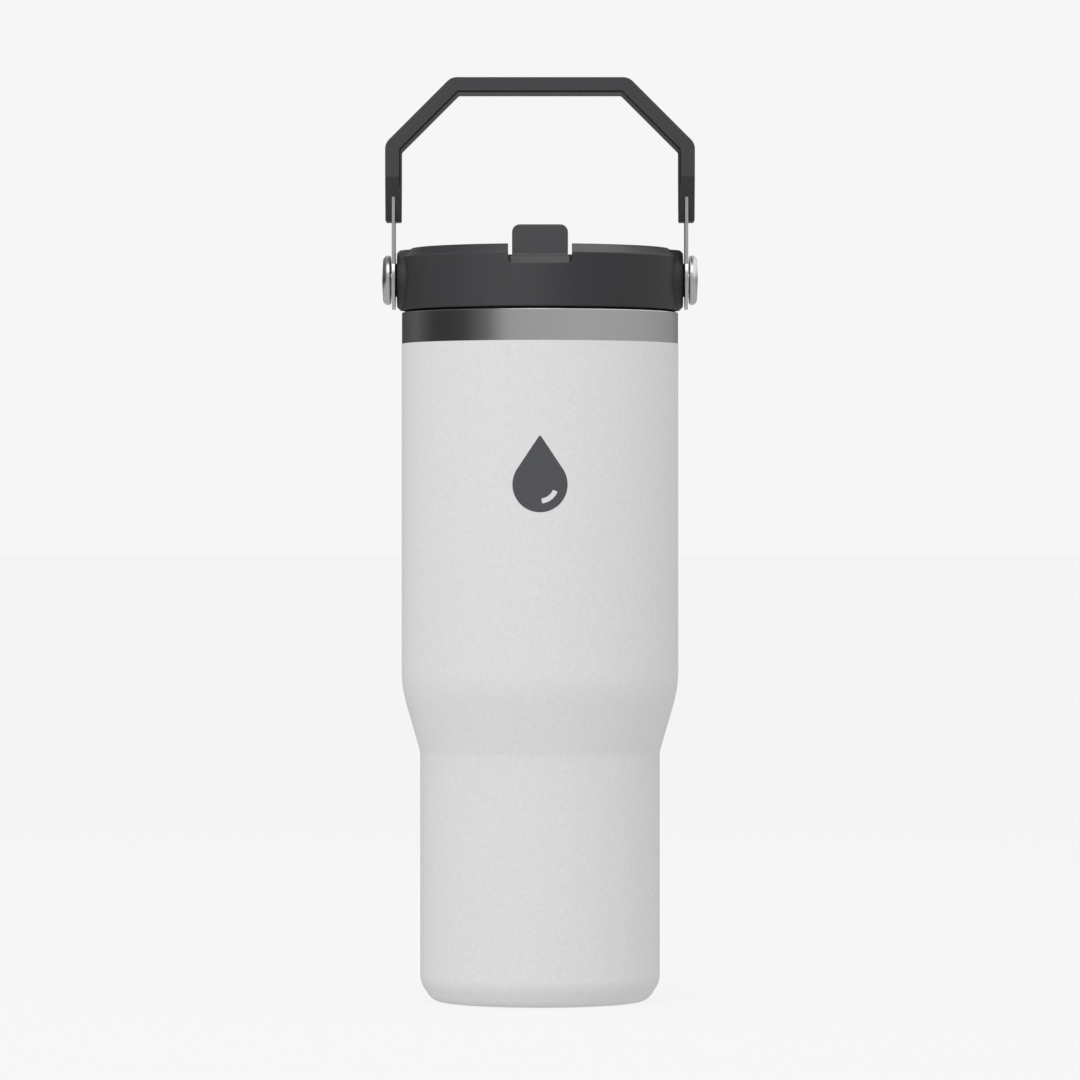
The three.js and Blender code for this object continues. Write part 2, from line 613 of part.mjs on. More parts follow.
// The moulded grip: a bail with two slanted shoulders, whose legs narrow from front to back at their ends.
function handleGrip() {
  const right = [
    [GRIP_INNER_X, GRIP_END_Z],
    [GRIP_OUTER_X, GRIP_END_Z],
    [GRIP_OUTER_X, GRIP_SHOULDER_OUTSIDE - GRIP_OUTER_X, GRIP_CORNER],
    [GRIP_SHOULDER_OUTSIDE - GRIP_TOP_Z, GRIP_TOP_Z, GRIP_CORNER],
  ];
  const rightInside = [
    [GRIP_SHOULDER_INSIDE - GRIP_UNDERSIDE_Z, GRIP_UNDERSIDE_Z, 1],
    [GRIP_INNER_X, GRIP_SHOULDER_INSIDE - GRIP_INNER_X, 1],
  ];
  const flip = (corners) => corners.map(([x, z, radius]) => [-x, z, radius]).reverse();
  const outline = shapeOf([...right, ...flip(right), ...flip(rightInside), ...rightInside]);
  const bail = plateAcrossY(outline, [-GRIP_HALF_DEPTH, GRIP_HALF_DEPTH], GRIP_CHAMFER);

  const wedge = (side) => {
    const corners = [
      [GRIP_HALF_DEPTH, GRIP_TAPER_Z],
      [GRIP_END_HALF_DEPTH, GRIP_END_Z],
      [GRIP_END_HALF_DEPTH, GRIP_END_Z - 5],
      [GRIP_HALF_DEPTH + 5, GRIP_END_Z - 5],
      [GRIP_HALF_DEPTH + 5, GRIP_TAPER_Z],
    ].map(([y, z]) => [y * side, z]);
    return plateAcrossX(shapeOf(corners), [-60, 60]);
  };
  const slot = (side) => {
    const x = mirrored([STRAP_X[0] - CLEARANCE, STRAP_X[1] + CLEARANCE], side);
    const y = STRAP_HALF_WIDTH + CLEARANCE;
    return block(x, [-y, y], [GRIP_END_Z - 5, STRAP_TOP_Z + CLEARANCE]);
  };
  return cut(bail, wedge(-1), wedge(1), slot(-1), slot(1));
}

// ---------- the assembly ----------

const FINISHES = {
  powderCoat: { color: 0xdcdcdc, roughness: 0.6, metalness: 0.0 },
  steel: { color: 0xa5a5a5, roughness: 0.32, metalness: 1.0 },
  charcoal: { color: 0x444549, roughness: 0.55, metalness: 0.0 },
  silicone: { color: 0x2b2b2d, roughness: 0.7, metalness: 0.0 },
  brass: { color: 0xb08d4c, roughness: 0.4, metalness: 1.0 },
  clear: { color: 0xe6eaec, roughness: 0.25, metalness: 0.0 },
};

const bottle = new THREE.Group();

function addPiece(name, manifold, finish) {
  const { vertProperties, triVerts } = manifold.getMesh();
  const geometry = new THREE.BufferGeometry();
  geometry.setAttribute("position", new THREE.BufferAttribute(vertProperties, 3));
  geometry.setIndex(new THREE.BufferAttribute(triVerts, 1));
  geometry.computeVertexNormals();
  const mesh = new THREE.Mesh(geometry, new THREE.MeshStandardMaterial(FINISHES[finish]));
  mesh.name = name;
  bottle.add(mesh);
}

addPiece("outer_shell", outerShell(), "powderCoat");
addPiece("inner_liner", innerLiner(), "steel");
addPiece("base_cap", baseCap(), "steel");
addPiece("seal_bead", sealBead(), "steel");
addPiece("vacuum_getter", vacuumGetter(), "steel");
addPiece("lid_gasket", lidGasket(), "silicone");
addPiece("lid_housing", lidHousing(), "charcoal");
addPiece("lid_underplate", lidUnderplate(), "charcoal");
addPiece("port_seal", portSeal(), "silicone");
addPiece("vent_valve", ventValve(), "silicone");
addPiece("straw", straw(), "clear");
addPiece("spout", spout(), "charcoal");
addPiece("handle_grip", handleGrip(), "charcoal");

for (const [label, side] of [["left", -1], ["right", 1]]) {
  addPiece(`pivot_insert_${label}`, pivotInsert(side), "brass");
  addPiece(`pivot_bushing_${label}`, pivotBushing(side), "silicone");
  addPiece(`pivot_pin_${label}`, pivotPin(side), "steel");
  addPiece(`strap_${label}`, strap(side), "steel");
}

export default bottle;
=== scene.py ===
"""Looks for the insulated water bottle: smooth shells, moulded plastic, satin steel and a plain pale studio.

Lengths are millimetres in the shape functions and become metres when a mesh is made.
+Z is up, and the front is -Y. Colours are linear.
"""

import json
import math

import bmesh
import bpy
from mathutils import Matrix, Vector

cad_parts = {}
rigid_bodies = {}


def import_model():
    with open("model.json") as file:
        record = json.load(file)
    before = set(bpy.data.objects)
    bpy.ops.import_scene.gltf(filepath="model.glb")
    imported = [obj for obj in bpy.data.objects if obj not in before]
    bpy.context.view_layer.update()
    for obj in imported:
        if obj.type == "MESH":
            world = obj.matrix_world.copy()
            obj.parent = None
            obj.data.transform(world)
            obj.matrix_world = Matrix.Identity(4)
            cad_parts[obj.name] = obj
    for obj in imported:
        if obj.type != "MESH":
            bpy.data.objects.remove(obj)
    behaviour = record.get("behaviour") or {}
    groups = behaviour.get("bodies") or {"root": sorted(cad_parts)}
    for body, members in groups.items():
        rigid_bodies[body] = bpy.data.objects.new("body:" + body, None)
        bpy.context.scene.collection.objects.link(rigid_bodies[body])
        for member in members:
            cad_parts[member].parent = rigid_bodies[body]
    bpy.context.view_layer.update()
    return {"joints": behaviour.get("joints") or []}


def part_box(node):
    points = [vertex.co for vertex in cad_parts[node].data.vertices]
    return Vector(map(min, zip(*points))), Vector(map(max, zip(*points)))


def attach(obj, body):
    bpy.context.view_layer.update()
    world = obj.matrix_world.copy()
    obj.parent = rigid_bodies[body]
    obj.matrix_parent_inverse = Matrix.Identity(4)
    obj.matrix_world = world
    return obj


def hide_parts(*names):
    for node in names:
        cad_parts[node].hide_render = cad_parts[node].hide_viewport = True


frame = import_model()

# ---------- sizes, read from the frame where a node's box gives them ----------

MM = 0.001


def box_mm(node):
    """Lowest and highest corner of a CAD node, in millimetres."""
    low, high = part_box(node)
    return low / MM, high / MM


def across(node):
    """Largest radius of a CAD node that is centred on the bottle's axis."""
    return box_mm(node)[1].x


def z_span(node):
    low, high = box_mm(node)
    return low.z, high.z


LARGE_FLATS, MEDIUM_FLATS, SMALL_FLATS = 192, 96, 64  # facets round a turned body
ARC_STEP = math.radians(9)
CREASE = math.radians(25)  # edges sharper than this stay crisp
FINE_CREASE = math.radians(12)

UPPER_RADIUS = across("outer_shell")
MOUTH_Z = z_span("outer_shell")[1]
LOWER_RADIUS = UPPER_RADIUS - 5.85
TAPER_LOW = (78.9, 6.0)  # height of the corner, and radius of its blend
TAPER_HIGH = (99.0, 33.0)
COAT_TOP_Z = MOUTH_Z - 9.9
COAT_THICKNESS = 0.07
INK_THICKNESS = 0.05
SHELL_WALL = 0.5
VACUUM_GAP = 2.0
LINER_WALL = 0.4
FOOT_INNER_RADIUS = 26.0
FOOT_DEPTH = 3.0
BASE_EDGE = (33.9, 6.1)  # slanted bottom edge: radius at the ground, and height at the wall
BASE_BLENDS = (5.0, 7.5)  # at the ground, and at the wall
LINER_FLOOR_Z = 7.0
NECK_RADIUS = UPPER_RADIUS - SHELL_WALL - VACUUM_GAP - LINER_WALL

THREAD_PITCH = 4.0
THREAD_TURNS = 1.25
THREAD_STEPS = 150
THREAD_FADE = 0.35  # angle over which a ridge rises from the wall at each end
NECK_THREAD_Z = 206.5
PLUG_THREAD_Z = 204.5

LID_LOW_Z, RIM_TOP_Z = 203.2, z_span("lid_housing")[1]
PLUG_RADIUS = 39.35
PLUG_BORE = 37.2
PORT_LOW_Z = 202.5
PORT_RADIUS, STRAW_SOCKET_RADIUS = 6.0, 4.1
VENT_Y, VENT_RADIUS, VENT_BORE, VALVE_SEAT_RADIUS = -8, 4.4, 1.3, 3.2
SKIRT_Z = MOUTH_Z + 0.6
RIM_EDGE_Z = RIM_TOP_Z - 2.8
RIM_RADII = (40.8, 39.8)
DECK_Z = RIM_TOP_Z - 5.9
DECK_RADIUS = 37.6
CHANNEL_HALF_WIDTH = 9.9
CHANNEL_CORNER = 1.0
CHANNEL_WALL = 2.2
CHANNEL_FLOOR_Z = DECK_Z - 10.5
CHANNEL_FRONT_Y = -41.4
CHANNEL_BACK_Y = 10.0
CHEEK_X = (7.0, 12.0)  # the raised walls beside the mouthpiece
CHEEK_Y = (-22.6, 12.1)
CHEEK_TOP_Z = DECK_Z + 3.1
NOTCH_ROUND = 0.55  # rounding of the notch floor's front edge

SPOUT_JOINT = next(joint for joint in frame["joints"] if joint["name"] == "spout_flip")
HANDLE_JOINT = next(joint for joint in frame["joints"] if joint["name"] == "handle_swing")
SPOUT_Y, SPOUT_Z = (value / MM for value in SPOUT_JOINT["pos_m"][1:])
PIVOT_Z = HANDLE_JOINT["pos_m"][2] / MM
BARREL_RADIUS = 6.0
BARREL_HALF_LENGTH = 9.15
TRUNNION_RADIUS, TRUNNION_BORE = 2.4, 2.7
SPOUT_BORE = 3.2
SEAL_SEAT_RADIUS = 5.7
MOUTHPIECE_LENGTH = box_mm("spout")[1].y - SPOUT_Y
TAB_TOP = z_span("spout")[1] - SPOUT_Z
TAB_LEAN = 0.2  # how far the tab leans back, as a slope
TAB_FRONT, TAB_BACK = 4.2, 6.6  # faces of the tab's foot, measured back from the barrel's axis
TAB_HALF_WIDTH = 8.75
TAB_CORNER = 2.5

BOSS_FACE_X = box_mm("lid_housing")[1].x
BOSS_FACE_RADIUS = 8.55
BOSS_ROOT_X = 41.0
BOSS_TOP_Z = RIM_TOP_Z - 0.55
PIN_END_X = box_mm("pivot_pin_right")[1].x
STRAP_X = (box_mm("strap_right")[0].x, box_mm("strap_right")[1].x)
STRAP_HALF_WIDTH = 8.0
STRAP_TOP_Z = z_span("strap_right")[1]
EYE_RADIUS = 9.35
GRIP_END_Z, GRIP_TOP_Z = z_span("handle_grip")
GRIP_OUTER_X = box_mm("handle_grip")[1].x
GRIP_HALF_DEPTH = box_mm("handle_grip")[1].y
GRIP_TAPER_Z, GRIP_END_HALF_DEPTH = 260.3, 6.1  # where the legs start to narrow, and their ends
GRIP_WALL = 4.95
GRIP_BAR = 4.8  # height of the top bar
GRIP_SHOULDERS = (319.6, 312.6)  # x + z along a shoulder's outside and inside, which slant at 45 degrees
GRIP_CORNER = 4.2
GROOVE_INSET, GROOVE_WIDTH, GROOVE_DEPTH = 0.2, 0.35, 1.2
BEYOND = 5  # how far a cutter reaches past what it cuts


# ---------- outlines ----------

def rounded(corners):
    """Corners are (x, y) or (x, y, radius). A radius makes an arc that touches both sides of the corner."""
    points = []
    for index, corner in enumerate(corners):
        here = Vector(corner[:2])
        if len(corner) == 2:
            points.append(here)
            continue
        radius = corner[2]
        before = (Vector(corners[index - 1][:2]) - here).normalized()
        after = (Vector(corners[(index + 1) % len(corners)][:2]) - here).normalized()
        half = before.angle(after) / 2
        start = here + before * (radius / math.tan(half))
        centre = here + (before + after).normalized() * (radius / math.sin(half))
        side = before.x * after.y - before.y * after.x
        turn = math.copysign(math.pi - 2 * half, -side)
        steps = max(2, math.ceil(abs(turn) / ARC_STEP))
        for step in range(steps + 1):
            points.append(centre + Matrix.Rotation(turn * step / steps, 2) @ (start - centre))
    return points


def taper_corners(depth):
    """The two blended corners of the body's taper, at a depth inside the outer surface, from low to high."""
    (low_z, low_blend), (high_z, high_blend) = TAPER_LOW, TAPER_HIGH
    rise = depth * math.tan(math.atan2(UPPER_RADIUS - LOWER_RADIUS, high_z - low_z) / 2)
    return [
        (LOWER_RADIUS - depth, low_z + rise, low_blend + depth),
        (UPPER_RADIUS - depth, high_z + rise, high_blend - depth),
    ]


# ---------- meshes ----------

def new_piece(name, mesh):
    """Turns a bmesh in millimetres into an object in metres."""
    bmesh.ops.recalc_face_normals(mesh, faces=mesh.faces)
    bmesh.ops.scale(mesh, vec=(MM, MM, MM), verts=mesh.verts)
    data = bpy.data.meshes.new(name)
    mesh.to_mesh(data)
    mesh.free()
    piece = bpy.data.objects.new(name, data)
    bpy.context.scene.collection.objects.link(piece)
    return piece


def turned(name, corners, flats=LARGE_FLATS, axis="Z", side=1, offset=(0, 0, 0), squash=1):
    """A turned body from (radius, height) corners, counter-clockwise, closed on itself or on the axis."""
    mesh = bmesh.new()
    rings = []
    for point in rounded(corners):
        if point.x < 1e-6:
            rings.append([mesh.verts.new((0, 0, point.y))] * flats)
            continue
        ring = []
        for k in range(flats):
            angle = 2 * math.pi * k / flats
            ring.append(mesh.verts.new((point.x * math.cos(angle), point.x * math.sin(angle), point.y)))
        rings.append(ring)
    following = rings[1:] + ([] if corners[0][0] == 0 else rings[:1])
    for low, high in zip(rings, following):
        for k in range(flats):
            n = (k + 1) % flats
            face = list(dict.fromkeys([low[k], low[n], high[n], high[k]]))
            if len(face) > 2:
                mesh.faces.new(face)
    bmesh.ops.scale(mesh, vec=(1, squash, 1), verts=mesh.verts)
    turn = {"Z": Matrix.Identity(3), "X": Matrix.Rotation(side * math.pi / 2, 3, "Y"),
            "Y": Matrix.Rotation(-math.pi / 2, 3, "X")}[axis]
    bmesh.ops.transform(mesh, matrix=Matrix.Translation(offset) @ turn.to_4x4(), verts=mesh.verts)
    return new_piece(name, mesh)


def rod(radius, span, axis, offset):
    """A plain round cutter or core along an axis."""
    corners = [(0, span[0]), (radius, span[0]), (radius, span[1]), (0, span[1])]
    return turned("rod", corners, SMALL_FLATS, axis, 1, offset)


def block(x, y, z):
    mesh = bmesh.new()
    bmesh.ops.create_cube(mesh, size=1)
    size = (x[1] - x[0], y[1] - y[0], z[1] - z[0])
    middle = (sum(x) / 2, sum(y) / 2, sum(z) / 2)
    matrix = Matrix.Translation(middle) @ Matrix.Diagonal((*size, 1))
    bmesh.ops.transform(mesh, matrix=matrix, verts=mesh.verts)
    return new_piece("block", mesh)


PLANES = {
    "XZ": lambda point, depth: (point.x, depth, point.y),
    "YZ": lambda point, depth: (depth, point.x, point.y),
}


def plate(name, corners, span, plane):
    """A plate drawn in a plane that fills span across it."""
    outline = rounded(corners)
    place = PLANES[plane]
    mesh = bmesh.new()
    near, far = ([mesh.verts.new(place(point, depth)) for point in outline] for depth in span)
    mesh.faces.new(near)
    mesh.faces.new(reversed(far))
    for k in range(len(outline)):
        mesh.faces.new([near[k - 1], near[k], far[k], far[k - 1]])
    return new_piece(name, mesh)


def thread_ridge(wall_radius, height, start_z):
    """A helical ridge on a round wall. A negative height stands inward. Both ends sink into the wall."""
    foot = -0.2 if height > 0 else 0.2
    section = [(foot, -0.85), (height, -0.45), (height, 0.45), (foot, 0.85)]
    sweep = THREAD_TURNS * 2 * math.pi
    mesh = bmesh.new()
    rings = []
    for step in range(THREAD_STEPS + 1):
        angle = sweep * step / THREAD_STEPS
        full = min(1, min(angle, sweep - angle) / THREAD_FADE)
        ring = []
        for out, up in section:
            radius = wall_radius + (out if out == foot else foot / 2 + (out - foot / 2) * full)
            z = start_z + up + THREAD_PITCH * angle / (2 * math.pi)
            ring.append(mesh.verts.new((radius * math.cos(angle), radius * math.sin(angle), z)))
        rings.append(ring)
    for low, high in zip(rings, rings[1:]):
        for k in range(4):
            mesh.faces.new([low[k - 1], low[k], high[k], high[k - 1]])
    mesh.faces.new(rings[0])
    mesh.faces.new(reversed(rings[-1]))
    return new_piece("ridge", mesh)


def bake_modifiers(piece):
    evaluated = piece.evaluated_get(bpy.context.evaluated_depsgraph_get())
    data = bpy.data.meshes.new_from_object(evaluated)
    piece.modifiers.clear()
    piece.data = data


def combine(piece, operation, tools):
    for tool in tools:
        modifier = piece.modifiers.new(operation, "BOOLEAN")
        modifier.operation = operation
        modifier.solver = "EXACT"
        modifier.object = tool
        bake_modifiers(piece)
        bpy.data.objects.remove(tool)
    return piece


def join(piece, *tools):
    return combine(piece, "UNION", tools)


def cut(piece, *tools):
    return combine(piece, "DIFFERENCE", tools)


def overlap(piece, *tools):
    return combine(piece, "INTERSECT", tools)


def soften(piece, width, segments, angle):
    """Rounds every edge sharper than angle.

    The width shrinks for the whole piece where edges lie close together, as they do on the lid.
    """
    modifier = piece.modifiers.new("soften", "BEVEL")
    modifier.width = width * MM
    modifier.segments = segments
    modifier.limit_method = "ANGLE"
    modifier.angle_limit = math.radians(angle)
    bake_modifiers(piece)
    return piece


def smooth(piece, crease):
    """Smooth shading that keeps creases crisp and large flat faces flat."""
    piece.data.shade_smooth()
    piece.data.set_sharp_from_angle(angle=crease)
    modifier = piece.modifiers.new("even_normals", "WEIGHTED_NORMAL")
    modifier.keep_sharp = True
    bake_modifiers(piece)


# ---------- materials ----------

NOISE_RANGE = (0.3, 0.7)  # the part of a noise's output that is spread over a range of values


class Material:
    """A node material with one Principled shader and helpers for fine surface detail."""

    def __init__(self, name, **values):
        self.data = bpy.data.materials.new(name)
        self.data.use_nodes = True
        self.nodes = self.data.node_tree.nodes
        self.links = self.data.node_tree.links
        self.shader = self.nodes["Principled BSDF"]
        for socket, value in values.items():
            self.shader.inputs[socket.replace("_", " ")].default_value = value

    def node(self, kind, **values):
        made = self.nodes.new(kind)
        for socket, value in values.items():
            made.inputs[socket].default_value = value
        return made

    def noise(self, scale, detail, stretch=(1, 1, 1)):
        """Noise in object space. Scale is in features per metre. Stretch multiplies it along each axis."""
        place = self.node("ShaderNodeTexCoord")
        mapping = self.node("ShaderNodeMapping", Scale=stretch)
        noise = self.node("ShaderNodeTexNoise", Scale=scale, Detail=detail)
        self.links.new(place.outputs["Object"], mapping.inputs["Vector"])
        self.links.new(mapping.outputs["Vector"], noise.inputs["Vector"])
        return noise.outputs["Fac"]

    def spread(self, factor, low, high, socket):
        """Feeds a shader socket with values between low and high, steered by factor."""
        ramp = self.node("ShaderNodeMapRange")
        limits = zip(("From Min", "From Max", "To Min", "To Max"), (*NOISE_RANGE, low, high))
        for name, value in limits:
            ramp.inputs[name].default_value = value
        self.links.new(factor, ramp.inputs["Value"])
        self.links.new(ramp.outputs["Result"], self.shader.inputs[socket])

    def tint(self, factor, dark, light):
        """Colour that varies between two shades."""
        ramp = self.node("ShaderNodeValToRGB")
        for element, position, colour in zip(ramp.color_ramp.elements, NOISE_RANGE, (dark, light)):
            element.position = position
            element.color = (*colour, 1)
        self.links.new(factor, ramp.inputs["Fac"])
        self.links.new(ramp.outputs["Color"], self.shader.inputs["Base Color"])

    def bump(self, *layers):
        """Each layer is (factor, depth in millimetres, strength)."""
        normal = None
        for factor, depth, strength in layers:
            bump = self.node("ShaderNodeBump", Strength=strength, Distance=depth * MM)
            self.links.new(factor, bump.inputs["Height"])
            if normal:
                self.links.new(normal, bump.inputs["Normal"])
            normal = bump.outputs["Normal"]
        self.links.new(normal, self.shader.inputs["Normal"])


def powder_coat():
    coat = Material("powder_coat", Specular_IOR_Level=0.35)
    grain = coat.noise(2400, 3)
    coat.tint(coat.noise(900, 2), (0.690, 0.690, 0.692), (0.735, 0.735, 0.737))
    coat.spread(grain, 0.50, 0.68, "Roughness")
    coat.bump((grain, 0.06, 0.30), (coat.noise(700, 1), 0.05, 0.10))
    return coat.data


def turned_steel(name, roughness, stretch):
    """Stainless steel with fine marks, which run at right angles to an axis with a large stretch."""
    steel = Material(name, Metallic=1.0)
    marks = steel.noise(900, 2, stretch)
    steel.tint(marks, (0.705, 0.703, 0.700), (0.725, 0.723, 0.720))
    steel.spread(marks, roughness - 0.02, roughness + 0.02, "Roughness")
    steel.bump((marks, 0.01, 0.015))
    return steel.data


def charcoal_plastic():
    plastic = Material("charcoal_plastic", Specular_IOR_Level=0.45)
    grain = plastic.noise(3200, 2)
    plastic.tint(plastic.noise(1300, 2), (0.017, 0.018, 0.020), (0.021, 0.022, 0.025))
    plastic.spread(grain, 0.44, 0.56, "Roughness")
    plastic.bump((grain, 0.03, 0.25))
    return plastic.data


def silicone():
    rubber = Material("silicone", Specular_IOR_Level=0.3)
    haze = rubber.noise(1800, 2)
    rubber.tint(haze, (0.010, 0.010, 0.011), (0.016, 0.016, 0.017))
    rubber.spread(haze, 0.55, 0.75, "Roughness")
    rubber.bump((haze, 0.02, 0.2))
    return rubber.data


def print_ink():
    ink = Material("print_ink", Specular_IOR_Level=0.25)
    grain = ink.noise(2400, 3)
    ink.tint(grain, (0.074, 0.076, 0.084), (0.086, 0.088, 0.096))
    ink.spread(grain, 0.5, 0.65, "Roughness")
    ink.bump((grain, 0.05, 0.25))
    return ink.data


def insert_brass():
    brass = Material("insert_brass", Metallic=1.0)
    marks = brass.noise(1500, 2, (4, 1, 1))
    brass.tint(marks, (0.50, 0.34, 0.13), (0.62, 0.44, 0.19))
    brass.spread(marks, 0.3, 0.45, "Roughness")
    brass.bump((marks, 0.02, 0.2))
    return brass.data


def clear_straw():
    plastic = Material("clear_straw", Transmission_Weight=0.6, IOR=1.45)
    haze = plastic.noise(600, 2, (1, 1, 0.1))
    plastic.tint(haze, (0.80, 0.83, 0.85), (0.90, 0.92, 0.93))
    plastic.spread(haze, 0.25, 0.4, "Roughness")
    plastic.bump((haze, 0.02, 0.1))
    return plastic.data


POWDER_COAT = powder_coat()
BAND_STEEL = turned_steel("band_steel", 0.24, (0.03, 0.03, 9))
PART_STEEL = turned_steel("part_steel", 0.27, (1, 1, 1))
CHARCOAL = charcoal_plastic()
SILICONE = silicone()
INK = print_ink()
BRASS = insert_brass()
CLEAR = clear_straw()


def place(piece, body, material, slot, *nodes, crease=CREASE):
    """Shades a finished piece, fixes it to its CAD body, and hides the CAD nodes named."""
    smooth(piece, crease)
    piece.data.materials.clear()
    piece.data.materials.append(material)
    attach(piece, body)
    if nodes:
        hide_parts(*nodes)


# ---------- bottle ----------

def coat_shell():
    """The painted wall with its foot."""
    wall = SHELL_WALL
    edge_radius, edge_z = BASE_EDGE
    foot_blend, wall_blend = BASE_BLENDS
    piece = turned("coat_shell", [
        (FOOT_INNER_RADIUS, 0, 0.2),
        (edge_radius, 0, foot_blend),
        (LOWER_RADIUS, edge_z, wall_blend),
        *taper_corners(0),
        (UPPER_RADIUS, COAT_TOP_Z, COAT_THICKNESS / 2),
        (UPPER_RADIUS - wall, COAT_TOP_Z),
        *reversed(taper_corners(wall)),
        (LOWER_RADIUS - wall, edge_z + 0.15, wall_blend - wall),
        (edge_radius - wall / 2, wall, foot_blend - wall),
        (FOOT_INNER_RADIUS + wall, wall),
        (FOOT_INNER_RADIUS + wall, FOOT_DEPTH),
        (FOOT_INNER_RADIUS, FOOT_DEPTH),
    ])
    place(piece, "bottle", POWDER_COAT, "powder_coat", "outer_shell")


def neck_band():
    """The bare steel band above the paint, with its rolled lip."""
    outer = UPPER_RADIUS - COAT_THICKNESS
    lip_radius = UPPER_RADIUS - 1.7
    piece = turned("neck_band", [
        (outer - SHELL_WALL, COAT_TOP_Z + 0.02),
        (outer, COAT_TOP_Z + 0.02),
        (outer, MOUTH_Z, 0.35),
        (lip_radius, MOUTH_Z, 0.1),
        (lip_radius, MOUTH_Z - SHELL_WALL, 0.1),
        (outer - SHELL_WALL, MOUTH_Z - SHELL_WALL, 0.4),
    ])
    place(piece, "bottle", BAND_STEEL, "bare_steel", "outer_shell")


def inner_liner():
    outside = SHELL_WALL + VACUUM_GAP
    inside = outside + LINER_WALL
    floor_z, flare_z, lip_radius = LINER_FLOOR_Z, MOUTH_Z - 1.1, UPPER_RADIUS - 2.0
    cup = turned("liner", [
        (0, floor_z),
        (LOWER_RADIUS - outside, floor_z, 8.4),
        *taper_corners(outside),
        (UPPER_RADIUS - outside, flare_z, 0.6),
        (lip_radius, MOUTH_Z, 0.1),
        (lip_radius - LINER_WALL, MOUTH_Z, 0.1),
        (UPPER_RADIUS - inside, flare_z, 0.6),
        *reversed(taper_corners(inside)),
        (LOWER_RADIUS - inside, floor_z + LINER_WALL, 8.0),
        (0, floor_z + LINER_WALL),
    ])
    join(cup, thread_ridge(NECK_RADIUS, -1.0, NECK_THREAD_Z))
    place(cup, "bottle", BAND_STEEL, "bare_steel", "inner_liner")


def foot_parts():
    """The recessed base cap with its pressed ring, the seal bead, and the getter behind the cap."""
    rim = across("base_cap")
    low, high = 2.0, 2.5
    step = high - low
    cap = turned("foot_cap", [
        (1.0, low - 0.3),
        (4.0, low - 0.3, 0.3),
        (4.6, low, 0.3),
        (14, low, 0.5),
        (15, low + step, 0.5),
        (18, low + step, 0.5),
        (19, low, 0.5),
        (rim - step, low, 0.5),
        (rim - step, 0.6, 0.1),
        (rim, 0.6, 0.1),
        (rim, high, 0.6),
        (19, high, 0.5),
        (18, high + step, 0.5),
        (15, high + step, 0.5),
        (14, high, 0.5),
        (1.0, high),
    ])
    place(cap, "bottle", BAND_STEEL, "bare_steel", "base_cap")

    bead_top = low - 0.35
    bead = turned("evacuation_bead", [
        (0, 0.7), (1.9, 0.75, 1.5), (3.0, 1.5, 0.3), (2.8, bead_top), (0, bead_top),
    ], SMALL_FLATS)
    place(bead, "bottle", PART_STEEL, "bare_steel", "seal_bead")

    x = (box_mm("vacuum_getter")[0].x + box_mm("vacuum_getter")[1].x) / 2
    low, high = z_span("vacuum_getter")
    pill_z = high - 0.8
    getter = turned("getter_dish", [
        (0, low), (5.0, low, 0.4), (5.0, high, 0.2), (4.4, high, 0.2), (4.0, pill_z, 0.3), (0, pill_z),
    ], SMALL_FLATS, offset=(x, 0, 0))
    place(getter, "bottle", PART_STEEL, "bare_steel", "vacuum_getter")


def arc_points(radius, start, sweep, steps):
    """Points on a circle. Angles run clockwise from straight up."""
    angles = [start + sweep * k / steps for k in range(steps + 1)]
    return [Vector((radius * math.sin(angle), radius * math.cos(angle))) for angle in angles]


def drop_outlines():
    """A round drop with a blunt tip, and the crescent of light left open in it."""
    half_width, tip = 8.6, 15.6
    tangent = math.acos(half_width / tip)
    drop = arc_points(half_width, tangent, 2 * math.pi - 2 * tangent, 60)
    drop += [Vector((-0.35, tip - 0.65)), Vector((0, tip - 0.45)), Vector((0.35, tip - 0.65))]
    outer, inner = (arc_points(radius, math.radians(112), math.radians(62), 16) for radius in (5.9, 4.3))
    return drop, [*outer, *reversed(inner)]


def drop_mark():
    """A plain water drop printed on the front of the body, cut into strips so that it follows the wall."""
    centre_z = 163.0
    mesh = bmesh.new()
    for loop in drop_outlines():
        verts = [mesh.verts.new((point.x, 0, point.y)) for point in loop]
        for k in range(len(verts)):
            mesh.edges.new((verts[k - 1], verts[k]))
    bmesh.ops.triangle_fill(mesh, use_beauty=True, edges=mesh.edges)
    for cut_x in range(-8, 9):
        geometry = mesh.verts[:] + mesh.edges[:] + mesh.faces[:]
        bmesh.ops.bisect_plane(mesh, geom=geometry, plane_co=(cut_x, 0, 0), plane_no=(1, 0, 0))
    radius = UPPER_RADIUS + 0.03
    for vert in mesh.verts:
        angle = vert.co.x / radius
        vert.co = (radius * math.sin(angle), -radius * math.cos(angle), centre_z + vert.co.z)
    piece = new_piece("drop_mark", mesh)
    thickness = piece.modifiers.new("thickness", "SOLIDIFY")
    thickness.thickness = INK_THICKNESS * MM
    thickness.offset = 0
    bake_modifiers(piece)
    place(piece, "bottle", INK, "charcoal_plastic")


# ---------- lid ----------

def lid_gasket():
    low, high = z_span("lid_gasket")
    inner, lip = 38.65, across("lid_gasket")
    middle = (low + high) / 2
    piece = turned("gasket_ring", [
        (inner, low, 0.15), (lip - 0.5, low, 0.2), (lip, low + 0.6, 0.25), (lip - 0.4, middle, 0.3),
        (lip, high - 0.6, 0.25), (lip - 0.5, high, 0.2), (inner, high, 0.15),
    ])
    place(piece, "lid_seal", SILICONE, "silicone", "lid_gasket")


